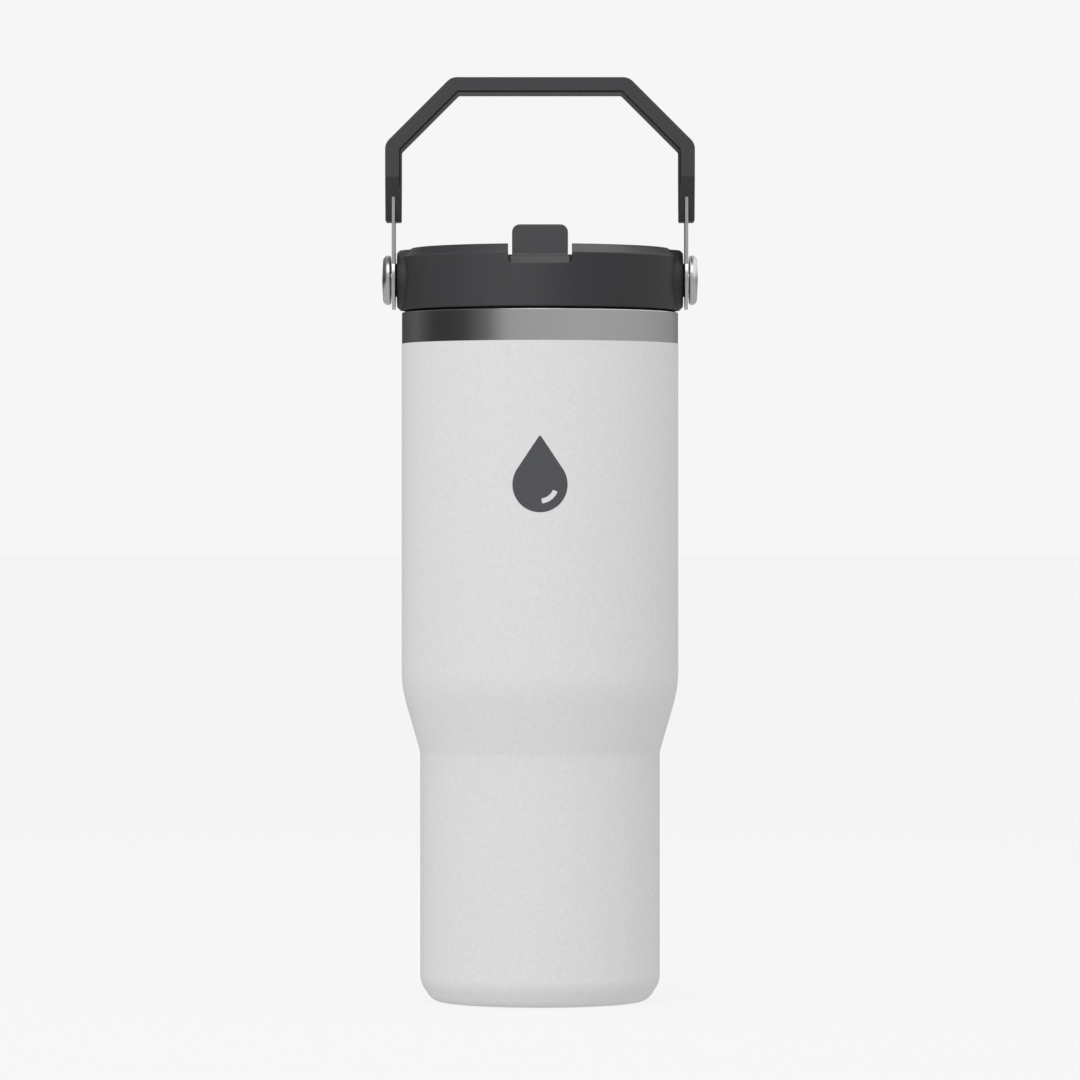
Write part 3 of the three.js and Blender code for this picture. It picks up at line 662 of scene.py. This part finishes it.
def lid_shell():
    ceiling = DECK_Z - 2.2
    skirt_bore, step_z, groove = 41.6, 220.5, (38.35, 213.3, 216.5)
    return turned("lid_shell", [
        (0, ceiling),
        (skirt_bore, ceiling),
        (skirt_bore, step_z),
        (PLUG_BORE, step_z),
        (PLUG_BORE, LID_LOW_Z, 0.3),
        (PLUG_RADIUS, LID_LOW_Z, 0.5),
        (PLUG_RADIUS, groove[1], 0.15),
        (groove[0], groove[1]),
        (groove[0], groove[2]),
        (PLUG_RADIUS, groove[2], 0.15),
        (PLUG_RADIUS, SKIRT_Z),
        (UPPER_RADIUS, SKIRT_Z, 0.4),
        (UPPER_RADIUS, RIM_EDGE_Z, 0.7),
        (RIM_RADII[0], RIM_TOP_Z, 0.15),
        (RIM_RADII[1], RIM_TOP_Z, 0.35),
        (DECK_RADIUS, DECK_Z, 1.6),
        (0, DECK_Z),
    ])


def pivot_boss(side):
    """A cone that stands out of the skirt, cut level at top and bottom, on a core that holds the insert."""
    cone = turned("boss", [
        (0, BOSS_ROOT_X),
        (BOSS_FACE_RADIUS + BOSS_FACE_X - BOSS_ROOT_X, BOSS_ROOT_X),
        (BOSS_FACE_RADIUS, BOSS_FACE_X, 0.5),
        (0, BOSS_FACE_X),
    ], MEDIUM_FLATS, "X", side, (0, 0, PIVOT_Z))
    overlap(cone, block((-60, 60), (-20, 20), (SKIRT_Z + 0.02, BOSS_TOP_Z)))
    x = sorted((33 * side, 42.5 * side))
    return join(cone, block(x, (-5.5, 5.5), (220.6, PIVOT_Z + 4)))


def pivot_bore(side):
    """A bore for the insert, wider at the boss's face, where the bushing sits."""
    return turned("bore", [
        (0, 38.2), (3.3, 38.2), (3.3, 44.2), (5.6, 44.2), (5.6, BOSS_FACE_X + 1), (0, BOSS_FACE_X + 1),
    ], SMALL_FLATS, "X", side, (0, 0, PIVOT_Z))


def channel_cheeks():
    """The raised walls beside the folded mouthpiece and behind its tip."""
    height = (CHANNEL_FLOOR_Z - 1, CHEEK_TOP_Z)
    inner, outer = CHEEK_X
    return [
        block((-outer, -inner), CHEEK_Y, height),
        block((inner, outer), CHEEK_Y, height),
        block((-outer, outer), (CHANNEL_BACK_Y, CHEEK_Y[1]), height),
    ]


def round_notch_edge(body, notch_z):
    """Rounds the long front edge of the notch's floor."""
    corner_x = CHANNEL_HALF_WIDTH - 0.9 * CHANNEL_CORNER
    mesh = bmesh.new()
    mesh.from_mesh(body.data)

    def on_edge(vert):
        x, y, z = vert.co / MM
        return abs(z - notch_z) < 0.01 and y < CHANNEL_FRONT_Y and abs(x) < corner_x

    edge = [line for line in mesh.edges if all(on_edge(vert) for vert in line.verts)]
    bmesh.ops.bevel(mesh, geom=edge, offset=NOTCH_ROUND * MM, segments=4, profile=0.5, affect="EDGES")
    mesh.to_mesh(body.data)
    mesh.free()


def open_slot(floor_z, span):
    """A cutter as wide as the mouthpiece's channel, open at the top, with rounded lower corners."""
    half, above = CHANNEL_HALF_WIDTH, RIM_TOP_Z + 2
    return plate("slot", [
        (-half, floor_z, CHANNEL_CORNER), (half, floor_z, CHANNEL_CORNER), (half, above), (-half, above),
    ], span, "XZ")


def lid_bores(wall_x):
    """Cutters for the trunnions, the port, the vent and the pivots.

    The port has a seat for its seal above and a socket for the straw below. The vent has a valve seat.
    """
    port, vent = (0, SPOUT_Y, 0), (0, VENT_Y, 0)
    low_z, through_z = PORT_LOW_Z - 1.5, CHANNEL_FLOOR_Z + 1
    valve_seat_z, socket_top_z, seal_seat_z = 206, 214, 220.0
    return [
        rod(TRUNNION_BORE, (-wall_x - 1, wall_x + 1), "X", (0, SPOUT_Y, SPOUT_Z)),
        rod(SEAL_SEAT_RADIUS, (seal_seat_z, through_z), "Z", port),
        rod(SPOUT_BORE, (socket_top_z - 1, seal_seat_z + 1), "Z", port),
        rod(STRAW_SOCKET_RADIUS, (low_z, socket_top_z), "Z", port),
        rod(VENT_BORE, (low_z, through_z), "Z", vent),
        rod(VALVE_SEAT_RADIUS, (low_z, valve_seat_z), "Z", vent),
        pivot_bore(-1),
        pivot_bore(1),
    ]


def lid_housing():
    wall_x = CHANNEL_HALF_WIDTH + CHANNEL_WALL
    box_low = CHANNEL_FLOOR_Z - CHANNEL_WALL
    notch_z = DECK_Z + 0.1
    port_z = (PORT_LOW_Z, box_low + 1)
    body = join(
        lid_shell(),
        block((-wall_x, wall_x), (-42, CHANNEL_BACK_Y + CHANNEL_WALL), (box_low, DECK_Z - 0.01)),
        rod(PORT_RADIUS, port_z, "Z", (0, SPOUT_Y, 0)),
        rod(VENT_RADIUS, port_z, "Z", (0, VENT_Y, 0)),
        pivot_boss(-1),
        pivot_boss(1),
        thread_ridge(PLUG_RADIUS, 1.2, PLUG_THREAD_Z),
    )
    channel = open_slot(CHANNEL_FLOOR_Z, (CHANNEL_FRONT_Y, CHANNEL_BACK_Y))
    notch = open_slot(notch_z, (-50, CHANNEL_FRONT_Y + 1))
    cut(body, channel, notch)
    join(body, *channel_cheeks())
    round_notch_edge(body, notch_z)
    soften(body, 0.28, 4, 40)
    cut(body, *lid_bores(wall_x))
    place(body, "lid", CHARCOAL, "charcoal_plastic", "lid_housing")


def under_plate():
    """The plate that closes the lid's hollow, with holes for the port and the vent."""
    low, high = z_span("lid_underplate")
    radius, clearance = across("lid_underplate"), 0.3
    disc = turned("under_plate", [(0, low), (radius, low, 0.4), (radius, high, 0.3), (0, high)])
    cut(
        disc,
        rod(PORT_RADIUS + clearance, (low - 1, high + 1), "Z", (0, SPOUT_Y, 0)),
        rod(VENT_RADIUS + clearance, (low - 1, high + 1), "Z", (0, VENT_Y, 0)),
    )
    place(disc, "lid", CHARCOAL, "charcoal_plastic", "lid_underplate")


def port_seal():
    """A ring whose top is hollowed to the barrel's round."""
    low, radius, height = z_span("port_seal")[0], 5.4, 2.9
    seal = turned("outlet_seal", [
        (SPOUT_BORE, low), (radius, low), (radius, low + height), (SPOUT_BORE, low + height),
    ], SMALL_FLATS, offset=(0, SPOUT_Y, 0))
    cut(seal, rod(BARREL_RADIUS + 0.1, (-12, 12), "X", (0, SPOUT_Y, SPOUT_Z)))
    place(seal, "lid", SILICONE, "silicone", "port_seal")


def straw():
    low, high = z_span("straw")
    inner, outer = 3.1, 3.8
    tube = turned("drinking_straw", [
        (inner, low, 0.2), (outer, low, 0.2), (outer, high, 0.2), (inner, high, 0.2),
    ], SMALL_FLATS, offset=(0, SPOUT_Y, 0))
    front, back = SPOUT_Y - BEYOND, SPOUT_Y + BEYOND
    slant = [(front, low - 2), (back, low - 2), (back, low + 6)]
    cut(tube, plate("slant", slant, (-BEYOND, BEYOND), "YZ"))
    place(tube, "lid", CLEAR, "clear_straw", "straw")


def vent_valve():
    low, high = z_span("vent_valve")
    cap, stem = 2.8, 0.9
    valve = turned("vent_mushroom", [
        (0, low), (cap, low + 0.5, 0.2), (cap, low + 1.3, 0.3), (stem, low + 1.6, 0.2), (stem, high, 0.3),
        (0, high),
    ], SMALL_FLATS, offset=(0, VENT_Y, 0))
    place(valve, "lid", SILICONE, "silicone", "vent_valve")


# ---------- spout ----------

def spout_tab():
    """The thumb tab, leaning back, with rounded upper corners."""
    y, z, half, top = SPOUT_Y, SPOUT_Z, TAB_HALF_WIDTH, SPOUT_Z + TAB_TOP
    lean = TAB_LEAN * (TAB_TOP - BARREL_RADIUS)
    tab = plate("tab", [
        (y, z),
        (y + TAB_BACK, z),
        (y + TAB_BACK, z + BARREL_RADIUS),
        (y + TAB_BACK + lean, top, 0.7),
        (y + TAB_FRONT + lean, top, 0.7),
        (y + TAB_FRONT, z + BARREL_RADIUS + 0.1, 1.6),
        (y, z + BARREL_RADIUS - 0.02),
    ], (-half, half), "YZ")
    overlap(tab, plate("tab_front", [
        (-half, z - 1), (half, z - 1), (half, top, TAB_CORNER), (-half, top, TAB_CORNER),
    ], (y - 1, y + 10), "XZ"))
    return soften(tab, 0.3, 4, 50)


def barrel_brow():
    """The thicker upper front of the barrel, nearly square at the top."""
    y, z = SPOUT_Y, SPOUT_Z
    return plate("brow", [
        (y, z),
        (y - 5.56, z + 2.25),
        (y - 4.73, z + 4.31, 13),
        (y - 3.3, z + BARREL_RADIUS, 0.15),
        (y + 4.3, z + BARREL_RADIUS - 0.01),
    ], (-BARREL_HALF_LENGTH, BARREL_HALF_LENGTH), "YZ")


def flip_spout():
    """Barrel, upright tab and mouthpiece in one moulding, bored straight through."""
    at = (0, SPOUT_Y, SPOUT_Z)
    trunnion_end, half, radius = box_mm("spout")[1].x, BARREL_HALF_LENGTH, BARREL_RADIUS
    barrel = turned("barrel", [
        (0, -half), (radius, -half, 0.5), (radius, half, 0.5), (0, half),
    ], MEDIUM_FLATS, "X", 1, at)
    trunnions = rod(TRUNNION_RADIUS, (-trunnion_end, trunnion_end), "X", at)
    tab = spout_tab()
    brow = barrel_brow()
    width, height, tip, length = 5.5, 5.0, 4.7, MOUTHPIECE_LENGTH
    mouthpiece = turned("mouthpiece", [
        (0, 0), (width, 0), (width, length - 9, 12), (tip, length, 1.4), (0, length),
    ], MEDIUM_FLATS, "Y", 1, at, squash=height / width)
    bore = rod(SPOUT_BORE, (-10, length + 2), "Y", at)
    piece = join(barrel, trunnions, mouthpiece, brow, tab)
    cut(piece, bore)
    place(piece, "spout", CHARCOAL, "charcoal_plastic", "spout")


# ---------- handle ----------

def pivot_parts(label, side):
    """Pin, bushing and threaded insert of one handle pivot."""
    at = (0, 0, PIVOT_Z)
    bushing_x = (44.5, 45.65)
    pin = turned(f"pin_{label}", [
        (0, 39.5), (2.0, 39.5, 0.3), (2.0, bushing_x[0]), (3.25, bushing_x[0]), (3.25, 47.1),
        (7.3, 47.1, 0.2), (7.8, 47.45, 0.4), (7.8, 48.7, 1.0), (6.7, PIN_END_X - 0.35, 1.2), (0, PIN_END_X),
    ], MEDIUM_FLATS, "X", side, at)
    place(pin, "lid", PART_STEEL, "bare_steel", f"pivot_pin_{label}")
    bushing = turned(f"bushing_{label}", [
        (3.4, bushing_x[0]), (5.3, bushing_x[0]), (5.3, bushing_x[1], 0.15), (3.4, bushing_x[1], 0.15),
    ], SMALL_FLATS, "X", side, at)
    place(bushing, "lid", SILICONE, "silicone", f"pivot_bushing_{label}")
    insert = turned(f"insert_{label}", [
        (2.1, 38.5), (3.0, 38.5, 0.2), (3.0, 40.9, 0.2), (2.7, 41.2), (3.0, 41.5, 0.2), (3.0, 44.1, 0.2),
        (2.1, 44.1),
    ], SMALL_FLATS, "X", side, at)
    place(insert, "lid", BRASS, "insert_brass", f"pivot_insert_{label}")


def strap(label, side):
    """A flat steel strap with a round eye on the pivot."""
    span = sorted((STRAP_X[0] * side, STRAP_X[1] * side))
    piece = plate(f"steel_strap_{label}", [
        (STRAP_HALF_WIDTH, PIVOT_Z), (STRAP_HALF_WIDTH, STRAP_TOP_Z, 3),
        (-STRAP_HALF_WIDTH, STRAP_TOP_Z, 3), (-STRAP_HALF_WIDTH, PIVOT_Z),
    ], span, "YZ")
    at = (0, 0, PIVOT_Z)
    low_x, high_x = span
    join(piece, turned("eye", [
        (0, low_x), (EYE_RADIUS, low_x), (EYE_RADIUS, high_x), (0, high_x),
    ], MEDIUM_FLATS, "X", 1, at))
    cut(piece, rod(3.55, (low_x - 1, high_x + 1), "X", at))
    soften(piece, 0.05, 1, 50)
    place(piece, "handle", PART_STEEL, "bare_steel", f"strap_{label}")


def mirrored(corners):
    """The same corners on the left side, in the opposite order."""
    return [(-x, *rest) for x, *rest in reversed(corners)]


def grip_groove(span):
    """A fine groove along the inside edge of the bail, as a cutter that fills span from front to back."""
    inner, under_z, shoulder = GRIP_OUTER_X - GRIP_WALL, GRIP_TOP_Z - GRIP_BAR, GRIP_SHOULDERS[1]
    low_z = GRIP_END_Z + 9

    def right_side(inset):
        along = 0.41 * inset  # moves a corner so that the slanted part is inset too
        return [
            (inner + inset, low_z),
            (inner + inset, shoulder - inner + along, 1),
            (shoulder - under_z + along, under_z + inset, 1),
        ]

    near, far = right_side(GROOVE_INSET), right_side(GROOVE_INSET + GROOVE_WIDTH)
    outline = [*far, *mirrored(far), *reversed(mirrored(near)), *reversed(near)]
    return plate("groove", outline, span, "XZ")


def bail():
    """The bail's outline with slanted shoulders, at full depth."""
    outer, inner, under_z = GRIP_OUTER_X, GRIP_OUTER_X - GRIP_WALL, GRIP_TOP_Z - GRIP_BAR
    outside, inside = GRIP_SHOULDERS
    right = [
        (inner, GRIP_END_Z, 0.5),
        (outer, GRIP_END_Z, 0.5),
        (outer, outside - outer, GRIP_CORNER),
        (outside - GRIP_TOP_Z, GRIP_TOP_Z, GRIP_CORNER),
    ]
    right_inside = [(inside - under_z, under_z, 1), (inner, inside - inner, 1)]
    outline = [*right, *mirrored(right), *mirrored(right_inside), *right_inside]
    return plate("grip_bail", outline, (-GRIP_HALF_DEPTH, GRIP_HALF_DEPTH), "XZ")


def leg_wedge(side):
    """A cutter that narrows both legs toward their ends, at the front (-1) or the back (1)."""
    wedge = [
        (GRIP_HALF_DEPTH, GRIP_TAPER_Z),
        (GRIP_END_HALF_DEPTH, GRIP_END_Z),
        (GRIP_END_HALF_DEPTH, GRIP_END_Z - BEYOND),
        (GRIP_HALF_DEPTH + BEYOND, GRIP_END_Z - BEYOND),
        (GRIP_HALF_DEPTH + BEYOND, GRIP_TAPER_Z),
    ]
    return plate("wedge", [(y * side, z) for y, z in wedge], (-60, 60), "YZ")


def strap_slot(side):
    x = sorted(((STRAP_X[0] - 0.06) * side, (STRAP_X[1] + 0.06) * side))
    half = STRAP_HALF_WIDTH + 0.1
    return block(x, (-half, half), (GRIP_END_Z - BEYOND, STRAP_TOP_Z + 0.3))


def handle_grip():
    """The moulded bail, with slots for the straps and a fine groove in both faces."""
    piece = bail()
    cut(piece, leg_wedge(-1), leg_wedge(1))
    soften(piece, 0.35, 8, 40)
    cut(piece, strap_slot(-1), strap_slot(1))
    for side in (-1, 1):
        span = sorted((side * (GRIP_HALF_DEPTH - GROOVE_DEPTH), side * (GRIP_HALF_DEPTH + 0.2)))
        cut(piece, grip_groove(span))
    place(piece, "handle", CHARCOAL, "charcoal_plastic", "handle_grip", crease=FINE_CREASE)


# ---------- studio ----------

BACKDROP = 0.921  # pale grey-white of floor and background
CAMERA_DISTANCE = 2.057
CAMERA_HEIGHT = 0.1458
VIEW_WIDTH = 0.3418  # what the frame spans at the bottle's axis
SENSOR_WIDTH = 36
FLOOR_SHADE = 0.06
FLOOR_GLOW = BACKDROP - 0.065
SHEEN_DISTANCE = 1.5
LID_CENTRE_Z = 0.23

# What glossy surfaces reflect at the horizon: (degrees to the right of the front, level), dark on the left
HORIZON = [
    (-180, 0.30), (-170, 0.06), (-150, 0.07), (-125, 0.12), (-100, 0.02), (-65, 0.02), (-42, 0.15),
    (-28, 0.44), (20, 0.42), (90, 0.40), (140, 0.33), (160, 0.22), (170, 0.16), (180, 0.30),
]
BELOW_HORIZON = (0.50, 0.50, 0.50, 1)
CEILING = [(0.0, 0.12), (0.3, 0.2), (0.45, 0.48), (0.55, 0.50), (0.75, 1.0)]  # from left to right
AMBIENT = [(0.0, 0.64), (0.3, 0.80), (0.45, 0.80), (0.55, 0.78), (1.0, 0.80)]  # straight down to straight up

# Lamps that show only in glossy surfaces: name, azimuth, elevation, size in metres, power, materials lit
SHEENS = [
    ("steel_sheen", -10, 55, (1.0, 1.1), 4.4, (PART_STEEL, BAND_STEEL)),
    ("lid_sheen", -16, 60, (1.2, 1.0), 11, (CHARCOAL,)),
    ("side_sheen", -25, 16, (2.2, 1.0), 12.2, (CHARCOAL,)),
    ("left_sheen", -88, 22, (1.5, 1.0), 5, (CHARCOAL,)),
    ("rear_sheen", 120, 68, (0.8, 0.8), 6.6, (CHARCOAL,)),
]


def camera():
    data = bpy.data.cameras.new("camera")
    data.sensor_width = SENSOR_WIDTH
    data.lens = data.sensor_width * CAMERA_DISTANCE / VIEW_WIDTH
    data.clip_start = 0.05
    data.clip_end = 200
    seen = bpy.data.objects.new("camera", data)
    seen.location = (0, -CAMERA_DISTANCE, CAMERA_HEIGHT)
    seen.rotation_euler = (math.pi / 2, 0, 0)
    bpy.context.scene.collection.objects.link(seen)
    bpy.context.scene.camera = seen


def floor():
    """A wide pale floor that glows nearly at the backdrop's level and takes a faint contact shadow."""
    mesh = bmesh.new()
    bmesh.ops.create_circle(mesh, cap_ends=True, radius=60000, segments=64)
    bmesh.ops.translate(mesh, vec=(0, 0, -0.05), verts=mesh.verts)
    piece = new_piece("studio_floor", mesh)
    material = bpy.data.materials.new("studio_floor")
    material.use_nodes = True
    shader = material.node_tree.nodes["Principled BSDF"]
    shader.inputs["Base Color"].default_value = (FLOOR_SHADE, FLOOR_SHADE, FLOOR_SHADE, 1)
    shader.inputs["Specular IOR Level"].default_value = 0
    shader.inputs["Roughness"].default_value = 1
    shader.inputs["Emission Color"].default_value = (1, 1, 1, 1)
    shader.inputs["Emission Strength"].default_value = FLOOR_GLOW
    piece.data.materials.append(material)
    piece.visible_diffuse = False
    piece.visible_glossy = False


def studio_world():
    """The camera sees a pale backdrop, matt surfaces get even light, and glossy ones reflect cards."""
    world = bpy.data.worlds.new("studio")
    bpy.context.scene.world = world
    world.use_nodes = True
    nodes, links = world.node_tree.nodes, world.node_tree.links
    background = nodes["Background"]

    def math_node(operation, first, second):
        made = nodes.new("ShaderNodeMath")
        made.operation = operation
        for socket, value in zip(made.inputs, (first, second)):
            if isinstance(value, (int, float)):
                socket.default_value = value
            else:
                links.new(value, socket)
        return made.outputs[0]

    def unit_range(value):
        """Takes -1..1 to 0..1."""
        return math_node("ADD", math_node("MULTIPLY", value, 0.5), 0.5)

    def card_ramp(value, stops):
        made = nodes.new("ShaderNodeValToRGB")
        elements = made.color_ramp.elements
        for position, _ in stops[2:]:
            elements.new(position)
        for element, (position, level) in zip(elements, stops):
            element.position = position
            element.color = (level, level, level, 1)
        links.new(value, made.inputs["Fac"])
        return made.outputs["Color"]

    def choose(chooser, otherwise, chosen):
        made = nodes.new("ShaderNodeMix")
        made.data_type = "RGBA"
        links.new(chooser, made.inputs["Factor"])
        for socket, value in ((made.inputs[6], otherwise), (made.inputs[7], chosen)):
            if isinstance(value, tuple):
                socket.default_value = value
            else:
                links.new(value, socket)
        return made.outputs[2]

    direction = nodes.new("ShaderNodeSeparateXYZ")
    links.new(nodes.new("ShaderNodeTexCoord").outputs["Generated"], direction.inputs["Vector"])
    x, y, z = direction.outputs
    azimuth = math_node("ARCTAN2", x, math_node("MULTIPLY", y, -1))
    around = math_node("ADD", math_node("DIVIDE", azimuth, 2 * math.pi), 0.5)
    cards = card_ramp(around, [(degrees / 360 + 0.5, level) for degrees, level in HORIZON])
    height = unit_range(z)
    ambient = card_ramp(height, AMBIENT)
    ceiling = card_ramp(unit_range(x), CEILING)
    above_and_below = choose(card_ramp(height, [(0.5, 0), (0.6, 1)]), BELOW_HORIZON, ceiling)
    off_horizon = card_ramp(height, [(0.38, 1), (0.44, 0), (0.56, 0), (0.62, 1)])
    reflected = choose(off_horizon, cards, above_and_below)

    rays = nodes.new("ShaderNodeLightPath")
    seen = choose(rays.outputs["Is Glossy Ray"], ambient, reflected)
    seen = choose(rays.outputs["Is Camera Ray"], seen, (BACKDROP, BACKDROP, BACKDROP, 1))
    links.new(seen, background.inputs["Color"])


def softbox(name, azimuth, elevation, distance, size, power, target_z, seen_in_gloss, only=()):
    """A light aimed at the bottle's axis. It lights matt surfaces, or else it shows in glossy ones.

    With only, it lights nothing but the pieces that have one of those materials.
    """
    data = bpy.data.lights.new(name, "AREA")
    data.shape = "RECTANGLE"
    data.size, data.size_y = size
    data.energy = power
    lamp = bpy.data.objects.new(name, data)
    lamp.visible_diffuse = not seen_in_gloss
    lamp.visible_glossy = seen_in_gloss
    bpy.context.scene.collection.objects.link(lamp)
    turn, rise = math.radians(azimuth), math.radians(elevation)
    away = Vector((math.sin(turn) * math.cos(rise), -math.cos(turn) * math.cos(rise), math.sin(rise)))
    lamp.location = Vector((0, 0, target_z)) + away * distance
    lamp.rotation_euler = away.to_track_quat("Z", "Y").to_euler()
    if only:
        lit = bpy.data.collections.new(f"{name}_lights")
        for piece in bpy.context.scene.objects:
            if piece.type == "MESH" and piece.data.materials[0] in only:
                lit.objects.link(piece)
        lamp.light_linking.receiver_collection = lit


def studio():
    bpy.context.scene.view_settings.view_transform = "Standard"
    studio_world()
    floor()
    softbox("key", -24, 28, 3.0, (1.4, 1.4), 24, 0.13, False)
    for name, azimuth, elevation, size, power, materials in SHEENS:
        softbox(name, azimuth, elevation, SHEEN_DISTANCE, size, power, LID_CENTRE_Z, True, materials)
    softbox("overhead", 0, 86, 1.2, (0.8, 0.6), 7, LID_CENTRE_Z, False)


# ---------- the assembly ----------

camera()
coat_shell()
neck_band()
inner_liner()
foot_parts()
drop_mark()
lid_gasket()
lid_housing()
under_plate()
port_seal()
straw()
vent_valve()
flip_spout()
for label, side in (("left", -1), ("right", 1)):
    pivot_parts(label, side)
    strap(label, side)
handle_grip()
studio()
